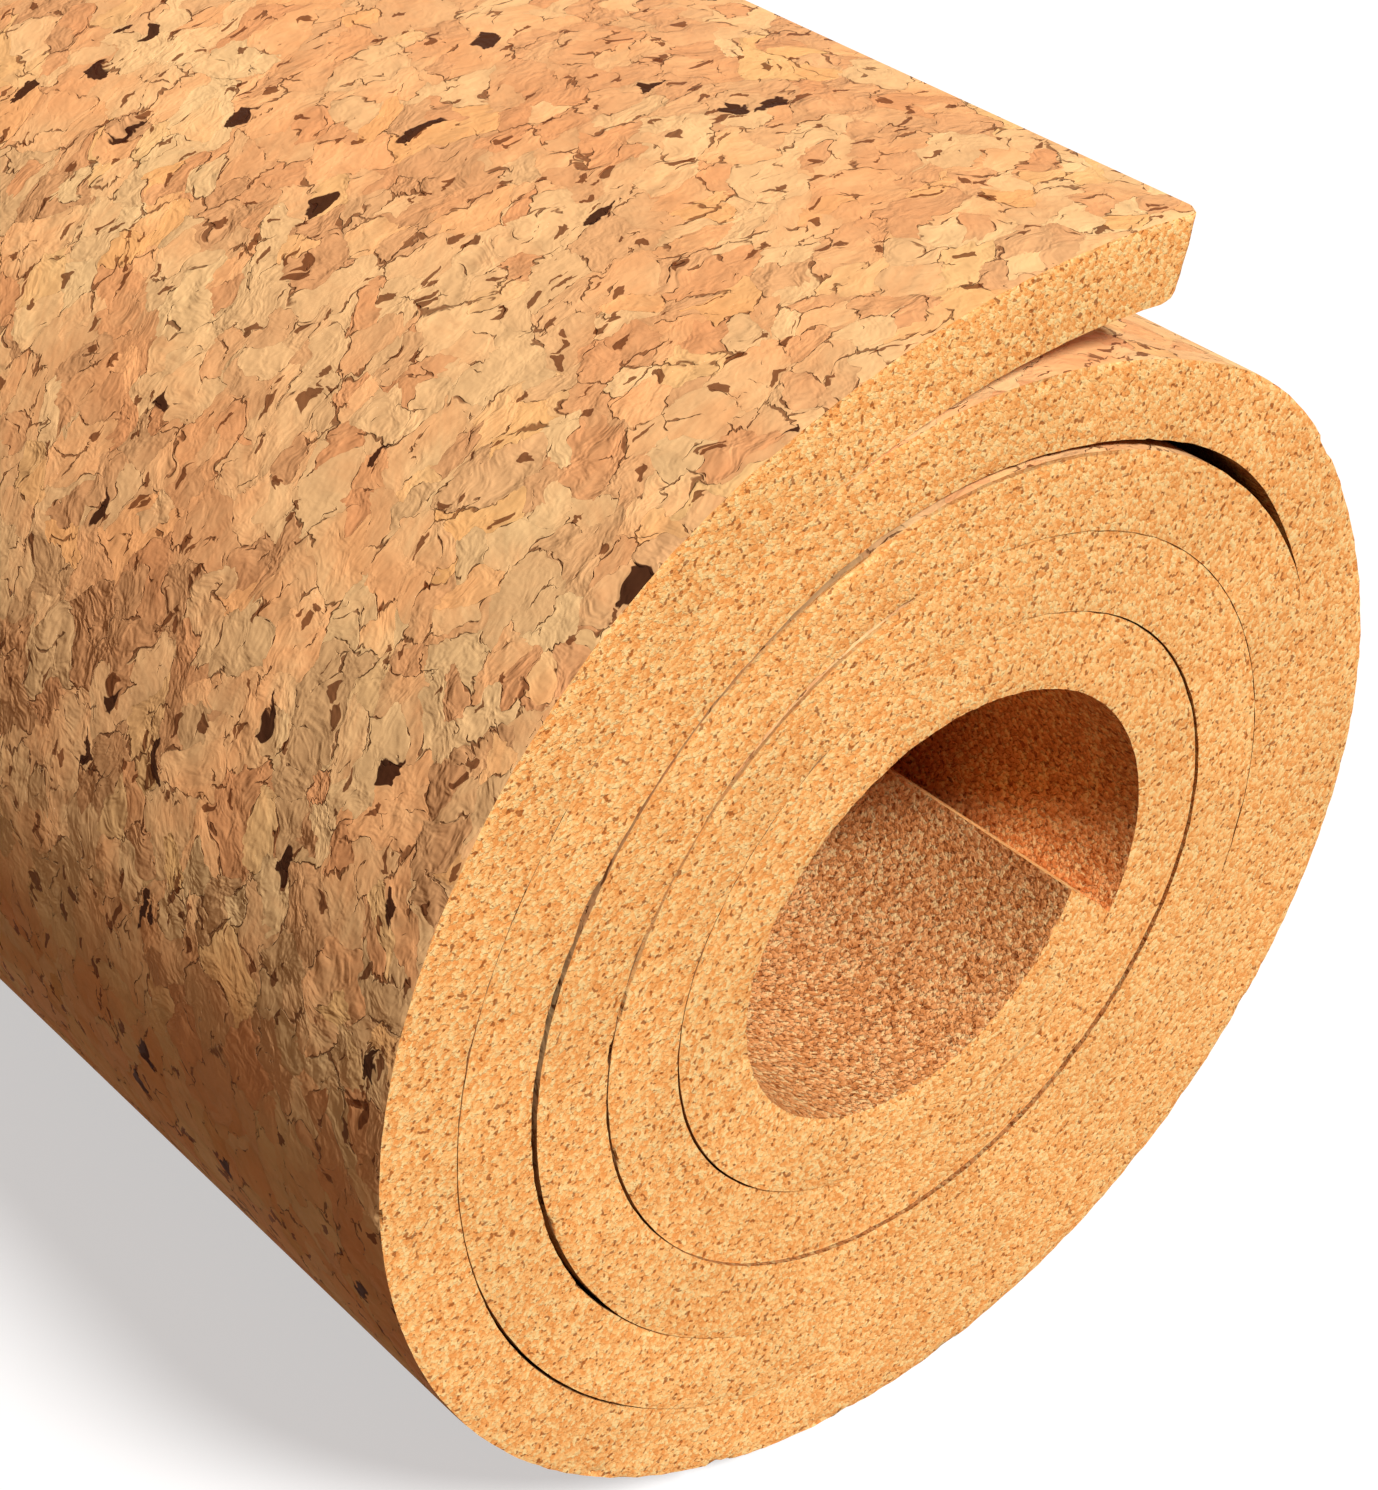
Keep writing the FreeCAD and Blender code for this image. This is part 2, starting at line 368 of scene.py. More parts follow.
def keep_for_materials(mesh, sheet):
    """Keeps the flat places, where the face layer's edge shows, and where the gaps get painted shade."""
    sizes, angle = sheet.sizes, sheet.angle
    attribute = mesh.attributes.new(FLAT_PLACE, "FLOAT_VECTOR", "POINT")
    attribute.data.foreach_set("vector", sheet.places.astype(np.float32).ravel())
    shown = np.zeros(len(angle))
    for heading, turn, half_width, strength in VENEER_STRETCHES:
        shown = np.maximum(shown, strength * stretch_share(angle, heading, turn, half_width))
    keep_share(mesh, VENEER_SHOWN, shown)
    lit = np.maximum.reduce([stretch_share(angle, *stretch) for stretch in LIT_STRETCHES])
    # Painted shade deep in the gaps: on the covered face, apart from the lit stretches, and on the back
    # that covers a turn, apart from the flap's underside
    under = math.degrees(sizes.inner_end_angle) - TURN
    back_painted_shade = 1 - smooth_step(angle, under - PAINTED_SHADE_FULL, under - PAINTED_SHADE_STARTS)
    back_painted_shade *= angle > math.degrees(sizes.flap_angle) - TURN * (sizes.full_turns + 1)
    keep_share(mesh, PAINTED_GAP_SHADE, np.where(sheet.height > 0.5, sheet.covered * (1 - lit), back_painted_shade))


def keep_share(mesh, name, values):
    """Keeps one number for each vertex under a name."""
    attribute = mesh.attributes.new(name, "FLOAT", "POINT")
    attribute.data.foreach_set("value", values.astype(np.float32))


def bent_noise(values, scale, seed):
    """Smooth noise, from -1 to 1, along one number for each vertex."""
    return np.array([noise.noise(Vector((value * scale, seed, 0.5))) for value in values])


def surface_noise(places, scale, seed):
    """Smooth noise, from -1 to 1, at each place."""
    moved = places * scale + np.array([seed, 0.0, 0.0])
    return np.array([noise.noise(Vector(place)) for place in moved])


def smooth_step(values, low, high):
    """0 below low, 1 above high, and a smooth rise between."""
    share = np.clip((values - low) / (high - low), 0, 1)
    return share * share * (3 - 2 * share)


def cut_ends(places, sheet):
    """Leans the cuts at the sheet's two ends, and wears the flap's corners round."""
    sizes, along, length, height = sheet.sizes, sheet.along, sheet.length, sheet.height
    near_start = 1 - smooth_step(along, 0, INNER_CUT_REACH)
    rise = math.tan(sizes.inner_end_bevel) * sizes.thickness / sizes.core_radius
    places[:, 0] += near_start * height * math.atan(rise * INNER_CUT_SHARE) * sizes.core_radius
    near_end = smooth_step(along, length - FLAP_CUT_REACH, length)
    places[:, 0] -= near_end * (1 - height) * math.tan(sizes.flap_end_slant) * sizes.thickness

    corner = sizes.flap_corner - np.clip(length - along, 0, sizes.flap_corner)
    lift = sizes.flap_corner - np.sqrt(sizes.flap_corner**2 - corner**2)
    places[:, 1] += lift * (1 - smooth_step(height, 0, 0.45))
    plan = np.clip(PLAN_CORNER - np.maximum(0, length - along), 0, PLAN_CORNER)
    clipped = PLAN_CORNER - np.sqrt(PLAN_CORNER**2 - plan**2)
    places[:, 2] -= sheet.rim_side * clipped * np.exp(-sheet.from_rim / (2 * MM))


def wear_rims(places, sheet, opening):
    """Rounds and chips the rims, most where a gap is open, and makes the ends uneven."""
    height, from_rim, rim_side = sheet.height, sheet.from_rim, sheet.rim_side
    edge_height = np.minimum(height, 1 - height) * sheet.sizes.thickness
    corner_near = np.exp(-((from_rim / RIM_REACH) ** 2) - (edge_height / RIM_REACH) ** 2)
    line = sheet.along + 0.7 * height + 3.0 * rim_side
    ragged = 0.5 + 0.5 * bent_noise(line, 520, 2.0)
    chips = smooth_step(bent_noise(line, 150, 7.0), 0.42, 0.66)
    opened = smooth_step(opening, -0.14 * MM, 0.05 * MM)
    crumbs = (0.04 + 0.2 * ragged) * (0.2 + 0.8 * opened)
    bite = (0.02 + crumbs + (0.15 + 0.55 * opened) * chips) * MM
    places[:, 1] += np.where(height > 0.5, -1, 1) * corner_near * bite * 0.7
    places[:, 2] -= rim_side * corner_near * bite

    on_rim = from_rim < 0.1 * MM
    rough = np.zeros(len(places))
    rough[on_rim] = surface_noise(sheet.places[on_rim], 330, 5.0)
    drift = bent_noise(sheet.along + 5 * rim_side, 3.1, 11.0)
    sunk = np.exp(-((from_rim / SUNK_REACH) ** 2)) * (0.5 + 0.5 * drift) * SUNK_DEPTH
    places[:, 2] += rim_side * (rough * END_ROUGHNESS - sunk)


def shape_flat(mesh, sheet):
    """Works the flat slab: its slanted ends, worn corners, uneven gaps and ragged rims."""
    places = sheet.places.copy()
    height = sheet.height
    cut_ends(places, sheet)

    # Covered turns press on the ones below them, apart from a few open stretches
    face_opening = opening_at(sheet.angle)
    back_opening = opening_at(sheet.angle + TURN)
    places[:, 1] -= np.where(sheet.covered, face_opening, 0) * height**2
    places[:, 1] += np.where(sheet.covering, back_opening, 0) * (1 - height) ** 2

    free = 1
    face_opening = np.where(sheet.covered, face_opening, free)
    back_opening = np.where(sheet.covering, back_opening, free)
    wear_rims(places, sheet, np.where(height > 0.5, face_opening, back_opening))
    set_places(mesh, places)


def stretch_share(angle, heading, turn, half_width):
    """1 along the middle of a stretch of one turn, falling to 0 at its ends."""
    away = np.abs(angle - (heading - TURN * turn)) / half_width
    return 1 - smooth_step(away, 0.35, 1.0)


def opening_at(angle):
    """How much each side of the gap over a face at this angle gives way, in metres."""
    opening = np.full(len(angle), -PRESSED)
    for heading, turn, half_width, wider in OPEN_STRETCHES:
        share = stretch_share(angle, heading, turn, half_width)
        opening = np.maximum(opening, -PRESSED + (wider / 2 + PRESSED) * share)
    return opening * MM


def assign_faces(slab):
    """Face, cut edges and back, in that order of material slots, told apart on the flat sheet."""
    mesh = slab.data
    normals = np.empty(len(mesh.polygons) * 3, np.float32)
    mesh.polygons.foreach_get("normal", normals)
    side = normals.reshape(-1, 3)[:, 1]
    slots = np.where(side > 0.9, 0, np.where(side < -0.9, 2, 1))
    mesh.polygons.foreach_set("material_index", slots.astype(np.int32))
    mesh.update()


class Tree:
    """Adds nodes to one node tree and joins them."""

    def __init__(self, tree):
        self.tree = tree

    def add(self, kind, inputs=None, **settings):
        """A new node, with its settings, and its inputs fed by sockets or values."""
        node = self.tree.nodes.new(kind)
        for name, value in settings.items():
            setattr(node, name, value)
        for key, value in (inputs or {}).items():
            self.feed(node.inputs[key], value)
        return node

    def feed(self, socket, value):
        """Joins a socket to another, or gives it a value."""
        if isinstance(value, bpy.types.NodeSocket):
            self.tree.links.new(value, socket)
        else:
            socket.default_value = value

    def maths(self, operation, *values, clamp=False):
        """The result of a Math node."""
        node = self.add("ShaderNodeMath", operation=operation, use_clamp=clamp)
        for socket, value in zip(node.inputs, values):
            self.feed(socket, value)
        return node.outputs[0]

    def vector(self, operation, *values, result="Vector"):
        """A result of a Vector Math node."""
        node = self.add("ShaderNodeVectorMath", operation=operation)
        for socket, value in zip(node.inputs, values):
            self.feed(socket, value)
        return node.outputs[result]

    def scaled(self, vector, factor):
        """A vector times a number."""
        node = self.add("ShaderNodeVectorMath", {"Vector": vector, "Scale": factor}, operation="SCALE")
        return node.outputs["Vector"]

    def mix(self, share, first, second):
        """A blend of two colours."""
        node = self.add("ShaderNodeMix", data_type="RGBA")
        self.feed(node.inputs[0], share)
        self.feed(node.inputs[6], first)
        self.feed(node.inputs[7], second)
        return node.outputs[2]

    def choose(self, share, first, second):
        """A blend of two numbers."""
        node = self.add("ShaderNodeMix", data_type="FLOAT")
        self.feed(node.inputs[0], share)
        self.feed(node.inputs[2], first)
        self.feed(node.inputs[3], second)
        return node.outputs[0]

    def span(self, value, low, high, start=0.0, end=1.0):
        """A value's place between low and high, smoothed, from start to end."""
        inputs = {"Value": value, "From Min": low, "From Max": high, "To Min": start, "To Max": end}
        node = self.add("ShaderNodeMapRange", inputs, interpolation_type="SMOOTHSTEP", clamp=True)
        return node.outputs[0]

    def noise(self, vector, scale, detail=2.0, roughness=0.5, result="Fac"):
        """The result of a Noise Texture on a flat surface."""
        inputs = {"Vector": vector, "Scale": scale, "Detail": detail, "Roughness": roughness}
        return self.add("ShaderNodeTexNoise", inputs, noise_dimensions="2D").outputs[result]

    def jitter(self, vector, scale, detail, reach):
        """The vector moved about by smooth noise, by up to about half the reach."""
        wander = self.noise(vector, scale, detail, 0.6, "Color")
        centred = self.vector("SUBTRACT", wander, (0.5, 0.5, 0.5))
        return self.vector("ADD", vector, self.scaled(centred, reach))

    def cells(self, vector, scale, feature="F1"):
        """A Voronoi Texture on a flat surface."""
        inputs = {"Vector": vector, "Scale": scale}
        return self.add("ShaderNodeTexVoronoi", inputs, feature=feature, voronoi_dimensions="2D")

    def flake_lean(self, vector, flakes):
        """How far a leaning flake's surface stands up at a point, each flake leaning its own way."""
        away = self.vector("SUBTRACT", vector, flakes.outputs["Position"])
        way = self.vector("SUBTRACT", flakes.outputs["Color"], (0.5, 0.5, 0.5))
        return self.vector("DOT_PRODUCT", away, way, result="Value")

    def show(self, kind, share, first, second):
        """An output node fed by a blend of two shaders."""
        blend = self.add("ShaderNodeMixShader", {0: share, 1: first.outputs[0], 2: second.outputs[0]})
        self.add(kind, {"Surface": blend.outputs[0]})

    def parts(self, colour):
        """A colour's three numbers."""
        return self.add("ShaderNodeSeparateColor", {"Color": colour}).outputs

    def joined(self, first, second):
        """A flat vector of two numbers."""
        return self.add("ShaderNodeCombineXYZ", {0: first, 1: second}).outputs[0]


def node_group(name, inputs, outputs):
    """A new shader node group with named sockets, as its tree and its input node's sockets."""
    group = bpy.data.node_groups.new(name, "ShaderNodeTree")
    for label, kind, value in inputs:
        socket = group.interface.new_socket(label, in_out="INPUT", socket_type=kind)
        if value is not None:
            socket.default_value = value
    for label, kind in outputs:
        group.interface.new_socket(label, in_out="OUTPUT", socket_type=kind)
    tree = Tree(group)
    return tree, tree.add("NodeGroupInput").outputs


def close_group(tree, results):
    """Feeds the group's outputs."""
    tree.add("NodeGroupOutput", results)
    return tree.tree


def granule_group():
    """Bonded granules: pale and brown grains, dark pores between them, and their relief."""
    tree, given = node_group("Bonded Granules", (
        ("Vector", "NodeSocketVector", None),
        ("Grain Size", "NodeSocketFloat", 0.0011),
        ("Granule", "NodeSocketColor", (1, 1, 1, 1)),
        ("Pale Granule", "NodeSocketColor", (1, 1, 1, 1)),
        ("Brown Granule", "NodeSocketColor", (1, 1, 1, 1)),
        ("Pore", "NodeSocketColor", (0, 0, 0, 1)),
        ("Pore Share", "NodeSocketFloat", 0.3),
        ("Seam Share", "NodeSocketFloat", 0.1),
    ), (("Color", "NodeSocketColor"), ("Height", "NodeSocketFloat")))
    units = tree.scaled(given["Vector"], tree.maths("DIVIDE", 1.0, given["Grain Size"]))
    fine = tree.noise(units, 1.2, 2.0, 0.6)
    push = tree.maths("SUBTRACT", fine, 0.5)
    shove = tree.joined(tree.maths("MULTIPLY", push, 1.6), tree.maths("MULTIPLY", push, -1.3))
    grains = tree.cells(tree.vector("ADD", units, shove), 1.0)
    grain = tree.parts(grains.outputs["Color"])[0]
    tone = tree.maths("ADD", tree.maths("MULTIPLY", fine, 0.65), tree.maths("MULTIPLY", grain, 0.35))
    brown = tree.span(tone, 0.34, 0.50, 0.75, 0.0)
    colour = tree.mix(brown, given["Granule"], given["Brown Granule"])
    colour = tree.mix(tree.span(tone, 0.52, 0.70), colour, given["Pale Granule"])
    seam = tree.span(grains.outputs["Distance"], 0.42, 0.72)
    colour = tree.mix(tree.maths("MULTIPLY", seam, given["Seam Share"]), colour, given["Pore"])
    patchy = tree.noise(units, 0.14, 1.0)
    specks = tree.noise(tree.vector("ADD", units, (7.3, 1.9, 0.0)), 0.7, 1.0, 0.5)
    amount = tree.maths("ADD", specks, tree.maths("MULTIPLY", patchy, 0.24))
    amount = tree.maths("ADD", amount, tree.maths("MULTIPLY", given["Pore Share"], 0.2))
    spot = tree.span(amount, 0.83, 0.92)
    colour = tree.mix(tree.maths("MULTIPLY", spot, 0.75), colour, given["Pore"])
    cloud = tree.noise(given["Vector"], 24.0, 1.0)
    colour = tree.scaled(colour, tree.span(cloud, 0.3, 0.7, 0.96, 1.03))
    height = tree.maths("SUBTRACT", tone, tree.maths("MULTIPLY", seam, 0.5))
    height = tree.maths("SUBTRACT", height, tree.maths("MULTIPLY", spot, 0.3))
    return close_group(tree, {"Color": colour, "Height": height})


def principled(name):
    """A new material's tree, and its shader."""
    material = bpy.data.materials.new(name)
    material.use_nodes = True
    material.node_tree.nodes.clear()
    tree = Tree(material.node_tree)
    shader = tree.add("ShaderNodeBsdfPrincipled", {"Specular IOR Level": 0.03})
    tree.add("ShaderNodeOutputMaterial", {"Surface": shader.outputs[0]})
    return material, tree, shader


def flat_place(tree):
    """A point's place on the flat sheet, in metres: along it, through it and across it."""
    node = tree.add("ShaderNodeAttribute", attribute_type="GEOMETRY", attribute_name=FLAT_PLACE)
    return tree.add("ShaderNodeSeparateXYZ", {0: node.outputs["Vector"]}).outputs


def granules(tree, group, vector, size, colours, shares):
    """The granule group placed in a material, with this material's values."""
    node = tree.tree.nodes.new("ShaderNodeGroup")
    node.node_tree = group
    names = ("Granule", "Pale Granule", "Brown Granule", "Pore")
    values = {"Vector": vector, "Grain Size": size, "Pore Share": shares[0], "Seam Share": shares[1]}
    values.update(zip(names, colours))
    for key, value in values.items():
        tree.feed(node.inputs[key], value)
    return node.outputs


def bump(tree, height, distance, strength=1.0):
    """A Bump node's normal."""
    inputs = {"Height": height, "Distance": distance, "Strength": strength}
    return tree.add("ShaderNodeBump", inputs).outputs["Normal"]


def painted_gap_shade_factor(tree):
    """Painted shade: how much of its colour a surface keeps, less where it lies deep between two turns."""
    shade = tree.add("ShaderNodeAttribute", attribute_type="GEOMETRY", attribute_name=PAINTED_GAP_SHADE)
    return tree.span(shade.outputs["Fac"], 0.0, 1.0, 1.0, PAINTED_SHADE_KEEPS)


def cut_edge_material(finish, sizes, group):
    """Sawn cork: fine granules, and the rubbed edge of the face layer where it shows."""
    material, tree, shader = principled("sawn_cork_edge")
    along, through, across = flat_place(tree)
    vector = tree.joined(tree.maths("ADD", along, across), through)
    colours = (finish.grain, finish.grain_pale, finish.grain_brown, finish.pore)
    grain = granules(tree, group, vector, finish.grain_size, colours, (0.30, 0.06))
    waver = tree.noise(vector, 210.0, 2.0)
    depth = tree.maths("SUBTRACT", sizes.thickness / 2, through)
    from_face = tree.maths("ADD", depth, tree.maths("MULTIPLY", waver, 0.5 * MM))
    shown = tree.add("ShaderNodeAttribute", attribute_type="GEOMETRY", attribute_name=VENEER_SHOWN)
    layer = tree.span(from_face, 0.80 * MM, 1.05 * MM, 1.0, 0.0)
    layer = tree.maths("MULTIPLY", layer, shown.outputs["Fac"])
    colour = tree.mix(tree.maths("MULTIPLY", layer, 0.8), grain["Color"], finish.veneer)
    tree.feed(shader.inputs["Base Color"], colour)
    tree.feed(shader.inputs["Roughness"], 0.88)
    tree.feed(shader.inputs["Normal"], bump(tree, grain["Height"], 0.25 * MM, 0.6))
    return material


def back_material(finish, group):
    """The sheet's back: browner granules with open pores."""
    material, tree, shader = principled("cork_back")
    along, _, across = flat_place(tree)
    vector = tree.joined(along, across)
    coarser = finish.grain_size * 1.25
    colours = (finish.back, finish.back_pale, finish.back_brown, finish.pore)
    grain = granules(tree, group, vector, coarser, colours, (0.30, 0.25))
    # Painted shade: the back's colour darkens where it lies deep between two turns
    tree.feed(shader.inputs["Base Color"], tree.scaled(grain["Color"], painted_gap_shade_factor(tree)))
    tree.feed(shader.inputs["Roughness"], 0.92)
    tree.feed(shader.inputs["Normal"], bump(tree, grain["Height"], 0.45 * MM, 1.0))
    return material


def fleck_share(tree, vector, scale, rarity, inset):
    """1 on the few cells of a pattern that are flecks, and 0 on the others."""
    number = tree.parts(tree.cells(vector, scale).outputs["Color"])[0]
    chosen = tree.maths("GREATER_THAN", number, rarity)
    inside = tree.cells(vector, scale, "DISTANCE_TO_EDGE").outputs["Distance"]
    return tree.maths("MULTIPLY", chosen, tree.span(inside, inset - 0.03, inset + 0.03))


def flake_material(finish):
    """The decorated face: pressed flakes of every tan, broken cracks, and flecks of bark."""
    material, tree, shader = principled("flaked_cork_face")
    along, _, across = flat_place(tree)
    place = tree.joined(along, across)
    warped = tree.jitter(tree.jitter(place, 80.0, 2.0, 0.008), 420.0, 2.0, 0.0026)
    warped = tree.vector("MULTIPLY", warped, (0.8, 1.0, 1.0))
    big = 1.0 / finish.flake_size
    little = big * SMALL_FLAKES
    moved = tree.vector("ADD", warped, (0.37, 0.81, 0.0))
    large_flakes, small_flakes = tree.cells(warped, big), tree.cells(moved, little)
    coarse = tree.parts(large_flakes.outputs["Color"])
    small = tree.parts(small_flakes.outputs["Color"])
    over = tree.maths("GREATER_THAN", small[2], 0.62)
    tone = tree.choose(over, coarse[0], small[0])
    hue = tree.choose(over, coarse[1], small[1])
    large_lean, small_lean = tree.flake_lean(warped, large_flakes), tree.flake_lean(moved, small_flakes)
    lean = tree.choose(over, large_lean, small_lean)

    # Each flake's streaks run its own way
    own_way = {"Vector": place, "Angle": tree.maths("MULTIPLY", tone, 5.0)}
    rotated = tree.add("ShaderNodeVectorRotate", own_way, rotation_type="Z_AXIS").outputs[0]
    streaks = tree.noise(tree.vector("MULTIPLY", rotated, (1.0, 0.25, 1.0)), 620.0, 2.0, 0.6)
    where = tree.noise(place, 150.0, 3.0, 0.65)
    glow = tree.noise(place, 60.0, 2.0)
    shade = tree.maths("ADD", tree.maths("MULTIPLY", tone, 0.5), tree.maths("MULTIPLY", streaks, 0.25))
    shade = tree.maths("ADD", shade, tree.maths("MULTIPLY", glow, 0.7))
    colour = tree.mix(tree.span(shade, 0.38, 0.92), finish.flake_tan, finish.flake_pale)
    colour = tree.mix(tree.span(hue, 0.4, 1.0, 0.0, 0.6), colour, finish.flake_rose)
    colour = tree.mix(tree.span(hue, 0.18, 0.0, 0.0, 0.5), colour, finish.flake_grey)
    patch = tree.span(tree.noise(place, 9.0, 2.0), 0.35, 0.65, 0.0, 0.25)
    colour = tree.mix(patch, colour, finish.flake_rose)
    colour = tree.scaled(colour, tree.span(where, 0.30, 0.66, 0.93, 1.03))

    # Broken cracks along some of the flakes' borders
    border = tree.cells(warped, big, "DISTANCE_TO_EDGE").outputs["Distance"]
    small_border = tree.cells(moved, little, "DISTANCE_TO_EDGE").outputs["Distance"]
    wide = tree.maths("MULTIPLY", tree.maths("SUBTRACT", where, 0.54), 0.2)
    crack = tree.span(tree.maths("SUBTRACT", border, wide), -0.014, 0.014, 1.0, 0.0)
    other = tree.noise(tree.vector("ADD", place, (3.1, 1.7, 0.0)), 170.0, 3.0, 0.65)
    wide = tree.maths("MULTIPLY", tree.maths("SUBTRACT", other, 0.56), 0.34)
    fine = tree.span(tree.maths("SUBTRACT", small_border, wide), -0.02, 0.02, 1.0, 0.0)
    crack = tree.maths("MAXIMUM", crack, fine)
    # Painted shade: each flake darkens a little towards its border, as in the creases between overlapping
    # flakes
    colour = tree.scaled(colour, tree.span(border, 0.0, 0.12, 0.94, 1.0))
    colour = tree.mix(tree.maths("MULTIPLY", crack, 0.75), colour, finish.crack)

    # Small brown marks, and a few nearly black flecks of bark
    long = tree.vector("MULTIPLY", warped, (0.7, 1.0, 1.0))
    marks = fleck_share(tree, long, MARKS_A_METRE, 0.955, 0.08)
    colour = tree.mix(tree.maths("MULTIPLY", marks, 0.85), colour, finish.crack)
    bark = fleck_share(tree, long, FLECKS_A_METRE, 0.984, 0.07)
    colour = tree.mix(tree.maths("MULTIPLY", bark, 0.97), colour, finish.bark)

    # Painted shade: the face's colour darkens where it lies deep between two turns
    colour = tree.scaled(colour, painted_gap_shade_factor(tree))
    # Relief in metres: leaning flakes, faint streaks and lumps, and sunken cracks
    relief = tree.maths("ADD", tree.maths("MULTIPLY", lean, 0.3), tree.maths("MULTIPLY", where, 0.35 * MM))
    relief = tree.maths("ADD", relief, tree.maths("MULTIPLY", streaks, 0.05 * MM))
    relief = tree.maths("SUBTRACT", relief, tree.maths("MULTIPLY", crack, 0.2 * MM))
    tree.feed(shader.inputs["Base Color"], colour)
    tree.feed(shader.inputs["Roughness"], 0.7)
    tree.feed(shader.inputs["Normal"], bump(tree, relief, 1.0, 1.0))
    return material


class ROLL_OT_rolled_sheet(bpy.types.Operator):
    """Winds the flaked cork sheet into its roll, with its flap, its gaps and its worn rims"""

    bl_idname = "cork_roll.rolled_sheet"
    bl_label = "Rolled Sheet"

    def execute(self, context):
        sizes, finish = context.scene.cork_sizes, context.scene.cork_finish
        middle = sizes.thickness / 2
        bends = winding(sizes)
        shift = resting_shift(bends, sizes)
        lengths = np.cumsum([0.0] + [bend.length(middle) for bend in bends])
        slab = flat_slab(sizes, lengths[-1])
        headings = [bends[0].start] + [bend.end for bend in bends]
        angle = np.interp(vertex_places(slab.data)[:, 0], lengths, headings)
        sheet = FlatSheet(slab.data, sizes, lengths[-1], angle)
        keep_for_materials(slab.data, sheet)
        assign_faces(slab)
        shape_flat(slab.data, sheet)
        curve = winding_curve(bends, shift, middle)
        select_only(slab)
        bending = slab.modifiers.new("Winding", "CURVE")
        bending.object = curve
        bending.deform_axis = "POS_X"
        bpy.ops.object.modifier_apply(modifier=bending.name)
        bpy.data.objects.remove(curve)
        slab.rotation_euler.x = math.pi / 2
        bpy.ops.object.transform_apply(location=True, rotation=True, scale=True)
        bpy.ops.object.mode_set(mode="EDIT")
        bpy.ops.mesh.select_all(action="SELECT")
        bpy.ops.mesh.normals_make_consistent(inside=False)
        bpy.ops.object.mode_set(mode="OBJECT")
        bpy.ops.object.shade_smooth_by_angle(angle=math.radians(50))
        group = granule_group()
        slab.data.materials.append(flake_material(finish))
        slab.data.materials.append(cut_edge_material(finish, sizes, group))
        slab.data.materials.append(back_material(finish, group))
        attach(slab, "root")
        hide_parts(NODE)
        return {"FINISHED"}


def lamp(name, kind, power, size, place, target, colour):
    """A soft lamp that points at a target."""
    bpy.ops.object.select_all(action="DESELECT")
    bpy.ops.object.light_add(type=kind, location=place)
    light = bpy.context.object
    light.name = name
    light.data.energy = power
    light.data.color = colour
    if kind == "AREA":
        light.data.shape = "DISK"
        light.data.size = size
    else:
        light.data.angle = size
    light.rotation_euler = (Vector(target) - Vector(place)).to_track_quat("-Z", "Y").to_euler()
    return light


def seen_directly(tree):
    """1 for what the camera sees, itself or through gloss or glass, and 0 for the light on the roll."""
    path = tree.add("ShaderNodeLightPath").outputs
    direct = tree.maths("MAXIMUM", path["Is Camera Ray"], path["Is Glossy Ray"])
    return tree.maths("MAXIMUM", direct, path["Is Transmission Ray"])


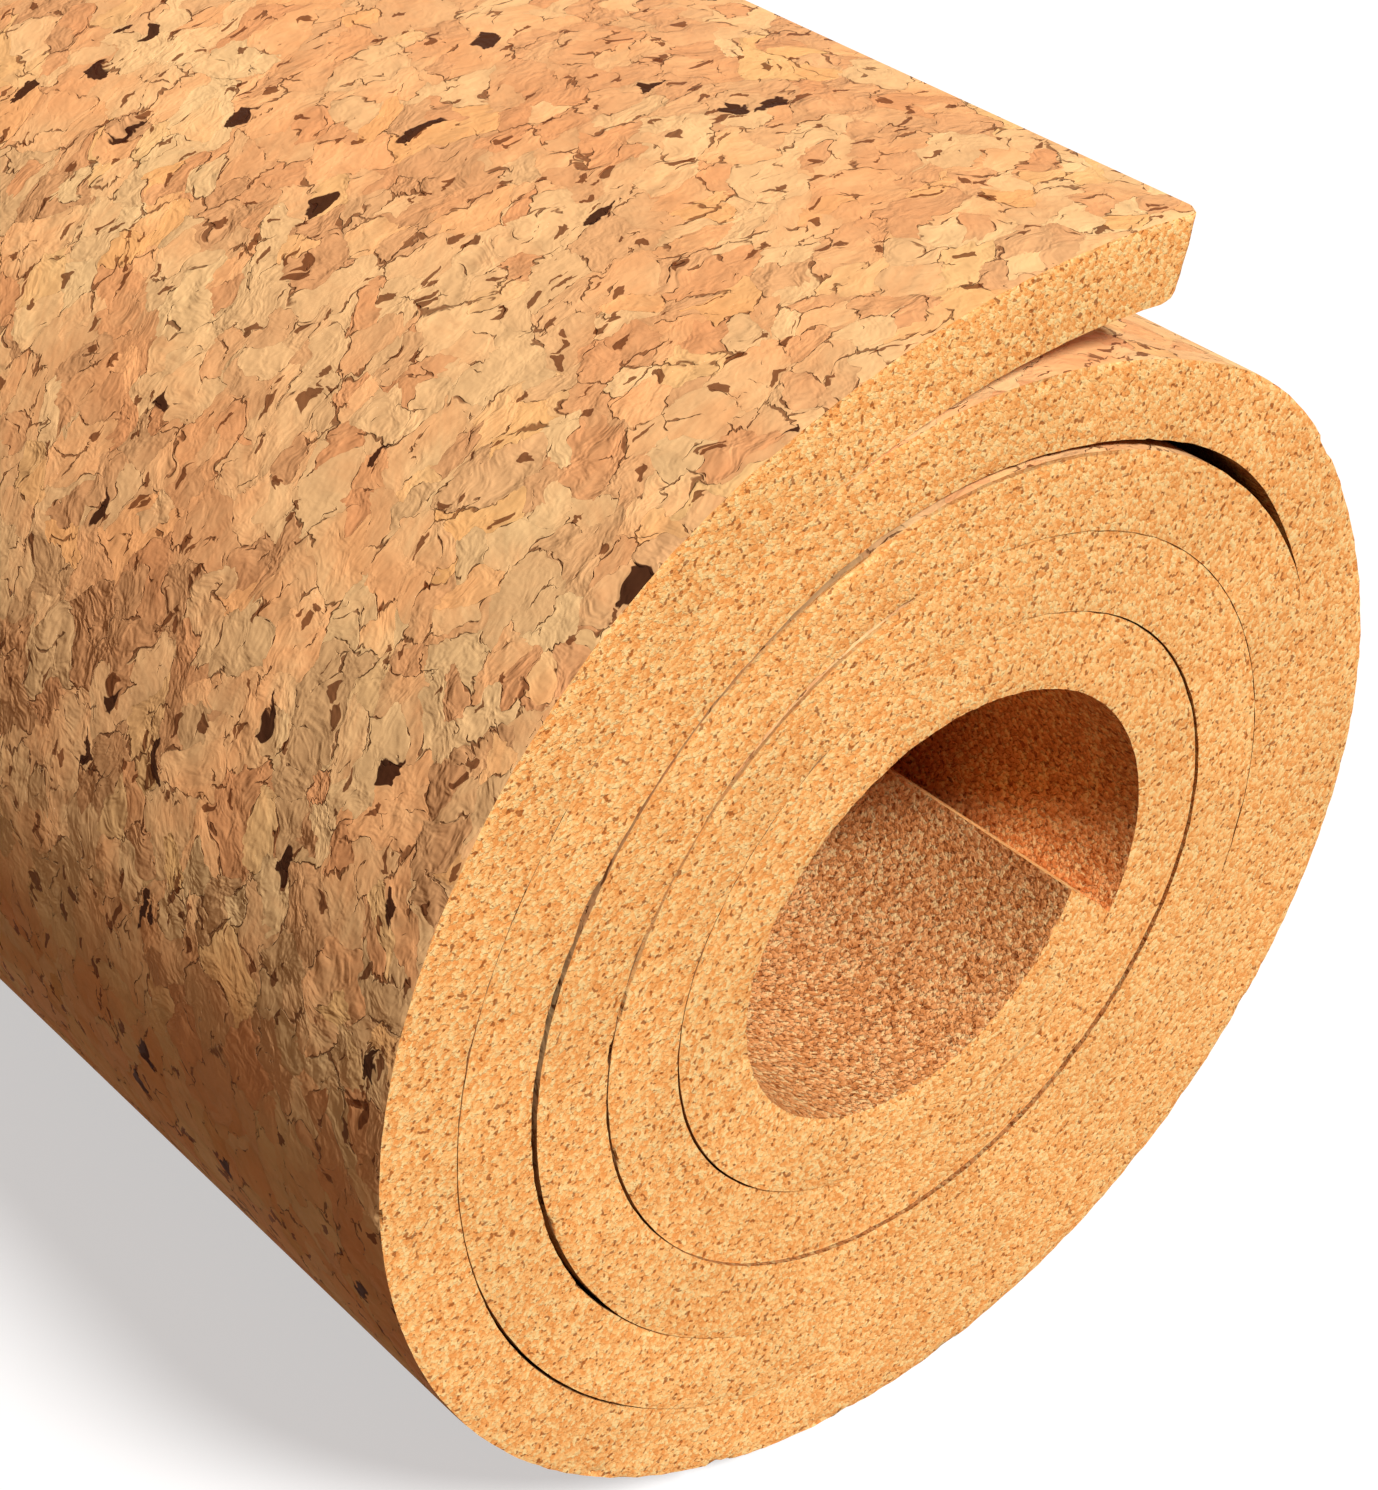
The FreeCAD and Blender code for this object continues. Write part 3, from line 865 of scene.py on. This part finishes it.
class ROLL_OT_studio(bpy.types.Operator):
    """Sets the pale floor, the soft lamps and the camera"""

    bl_idname = "cork_roll.studio"
    bl_label = "Studio"

    def execute(self, context):
        studio = context.scene.cork_studio
        bpy.ops.object.select_all(action="DESELECT")
        bpy.ops.mesh.primitive_plane_add(size=40, location=(0, 0, 0))
        floor = context.object
        floor.name = "pale_floor"
        material = bpy.data.materials.new("pale_floor")
        material.use_nodes = True
        material.node_tree.nodes.clear()
        tree = Tree(material.node_tree)
        plain = tree.add("ShaderNodeBsdfDiffuse", {"Color": studio.floor_bounce})
        lit = tree.add("ShaderNodeBsdfDiffuse", {"Color": [0.5 * v for v in studio.floor[:3]] + [1]})
        white = tree.add("ShaderNodeEmission", {"Color": studio.floor, "Strength": 0.54})
        seen = tree.add("ShaderNodeAddShader", {0: lit.outputs[0], 1: white.outputs[0]})
        tree.show("ShaderNodeOutputMaterial", seen_directly(tree), plain, seen)
        floor.data.materials.append(material)

        world = bpy.data.worlds.new("soft_sky")
        context.scene.world = world
        world.use_nodes = True
        world.node_tree.nodes.clear()
        tree = Tree(world.node_tree)
        sky = tree.add("ShaderNodeBackground", {"Color": (1, 0.66, 0.45, 1), "Strength": studio.sky})
        white = tree.add("ShaderNodeBackground", {"Color": (1, 1, 1, 1), "Strength": 1.0})
        tree.show("ShaderNodeOutputWorld", seen_directly(tree), sky, white)

        key_place, back_place, back_target = (0.08, -1.38, 1.46), (1.6, 2.6, 0.6), (0, 0.3, 0.1)
        lamp("key", "SUN", studio.key_strength, math.radians(14), key_place, (0, 0, 0), (1, 1, 1))
        lamp("back", "AREA", studio.back_power, 2.0, back_place, back_target, (1, 0.97, 0.93))

        bpy.ops.object.select_all(action="DESELECT")
        bpy.ops.object.camera_add(location=studio.eye)
        camera = context.object
        camera.name = "photo_view"
        camera.data.sensor_fit = "HORIZONTAL"
        camera.data.sensor_width = 36.0
        camera.data.lens = studio.lens
        camera.rotation_euler = (math.pi / 2 - studio.tilt, 0, -studio.heading)
        camera.data.clip_start, camera.data.clip_end = 0.01, 100
        context.scene.camera = camera
        context.scene.view_settings.view_transform = "Standard"
        return {"FINISHED"}


class ROLL_PT_panel(bpy.types.Panel):
    """Lists the roll's steps and settings"""

    bl_idname = "ROLL_PT_panel"
    bl_label = "Cork Roll"
    bl_space_type = "VIEW_3D"
    bl_region_type = "UI"
    bl_category = "Cork Roll"

    def draw(self, context):
        layout = self.layout
        for operator in STEPS:
            layout.operator(operator.bl_idname)
        for group in SETTINGS:
            box = layout.box()
            for name in SETTINGS[group].__annotations__:
                box.prop(getattr(context.scene, group), name)


STEPS = (ROLL_OT_rolled_sheet, ROLL_OT_studio)
SETTINGS = {"cork_sizes": SheetSizes, "cork_finish": CorkFinish, "cork_studio": StudioSettings}


def register():
    for item in (*SETTINGS.values(), *STEPS, ROLL_PT_panel):
        bpy.utils.register_class(item)
    for name, group in SETTINGS.items():
        setattr(bpy.types.Scene, name, PointerProperty(type=group))


def unregister():
    for name in SETTINGS:
        delattr(bpy.types.Scene, name)
    for item in reversed((*SETTINGS.values(), *STEPS, ROLL_PT_panel)):
        bpy.utils.unregister_class(item)


def main():
    """Makes the pieces and the studio."""
    register()
    bpy.ops.cork_roll.rolled_sheet()
    bpy.ops.cork_roll.studio()


if __name__ == "__main__":
    main()
